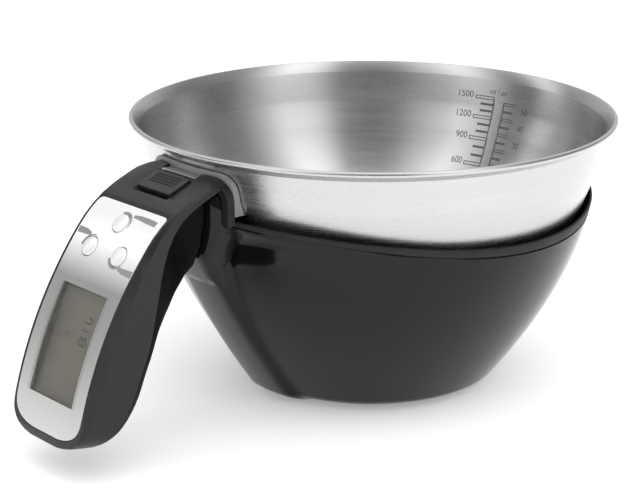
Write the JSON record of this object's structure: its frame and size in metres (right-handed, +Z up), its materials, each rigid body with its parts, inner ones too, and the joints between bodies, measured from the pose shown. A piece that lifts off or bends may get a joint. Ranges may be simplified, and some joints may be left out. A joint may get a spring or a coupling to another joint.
{
  "type": "kitchen scale",
  "caption": "Kitchen scale with a lift-off steel mixing bowl in a round black shell, and a curved handle that carries the display, buttons and bowl release.",
  "frame": {"origin": "centre of the outline at the underside of the feet", "axes": "+Z up, the handle points towards -X"},
  "size_m": [0.2796, 0.21, 0.1184],
  "materials": {
    "bowl_steel": "satin brushed",
    "bracket_grey": "satin",
    "catch_zinc": "satin",
    "gloss_shell": "gloss",
    "matt_black": "matt",
    "handle_satin": "satin",
    "handle_black": "satin",
    "dull_black": "matt",
    "fascia_silver": "satin silver paint",
    "button_silver": "satin silver paint",
    "lcd": "satin",
    "window": "clear",
    "rubber_feet": "matt",
    "cell_aluminium": "machined",
    "screw_zinc": "zinc plated",
    "board_green": "satin",
    "battery_metal": "satin",
    "sleeve_black": "matt"
  },
  "bodies": {
    "shell": {"outer_shell": "gloss_shell", "inner_liner": "matt_black", "base_cover": "dull_black", "foot_1": "rubber_feet", "foot_2": "rubber_feet", "foot_3": "rubber_feet", "foot_4": "rubber_feet", "base_screw_1": "screw_zinc", "base_screw_2": "screw_zinc", "base_screw_3": "screw_zinc", "load_cell": "cell_aluminium", "platform_carrier": "dull_black", "weighing_platform": "dull_black", "platform_screw": "screw_zinc", "cell_screw_1": "screw_zinc", "cell_screw_2": "screw_zinc", "cell_screw_3": "screw_zinc", "cell_screw_4": "screw_zinc", "handle_cover": "handle_satin", "handle_back": "handle_black", "neck_housing": "gloss_shell", "fascia": "fascia_silver", "display_window": "window", "lcd_panel": "lcd", "lcd_frame": "dull_black", "contact_strip": "sleeve_black", "main_board": "board_green", "button_board": "board_green", "zero_switch": "dull_black", "mode_switch": "dull_black", "unit_switch": "dull_black", "release_spring": "screw_zinc", "battery": "battery_metal", "battery_holder": "dull_black", "battery_plus_contact": "battery_metal", "battery_minus_contact": "battery_metal", "case_screw_1": "screw_zinc", "case_screw_2": "screw_zinc", "case_screw_3": "screw_zinc", "case_screw_4": "screw_zinc", "neck_screw_1": "screw_zinc", "neck_screw_2": "screw_zinc", "load_cell_lead": "sleeve_black"},
    "bowl": {"bowl": "bowl_steel", "bowl_bracket": "bracket_grey", "bowl_catch": "catch_zinc"},
    "zero_button": {"zero_button": "button_silver"},
    "mode_button": {"mode_button": "button_silver"},
    "unit_button": {"unit_button": "button_silver"},
    "release_slider": {"release_slider": "handle_satin"},
    "battery_door": {"battery_door": "handle_black"}
  },
  "joints": [
    {"name": "bowl_lift", "type": "slide", "parent": "shell", "child": "bowl", "axis": [0, 0, 1], "range_m": [0, 0.12]},
    {"name": "zero_press", "type": "slide", "parent": "shell", "child": "zero_button", "axis": [0.6883, 0, -0.7255], "range_m": [0, 0.0007], "stiffness_N_per_m": 400, "springref_m": -0.0005},
    {"name": "mode_press", "type": "slide", "parent": "shell", "child": "mode_button", "axis": [0.79, 0, -0.6131], "range_m": [0, 0.0007], "stiffness_N_per_m": 400, "springref_m": -0.0005},
    {"name": "unit_press", "type": "slide", "parent": "shell", "child": "unit_button", "axis": [0.79, 0, -0.6131], "range_m": [0, 0.0007], "stiffness_N_per_m": 400, "springref_m": -0.0005},
    {"name": "release_press", "type": "slide", "parent": "shell", "child": "release_slider", "axis": [-0.9304, 0, -0.3665], "range_m": [0, 0.002], "stiffness_N_per_m": 300, "springref_m": -0.002, "deforming": ["release_spring"]},
    {"name": "battery_door_hinge", "type": "hinge", "parent": "shell", "child": "battery_door", "pos_m": [-0.09661, 0, 0.04836], "axis": [0, -1, 0], "range_deg": [0, 95]}
  ]
}
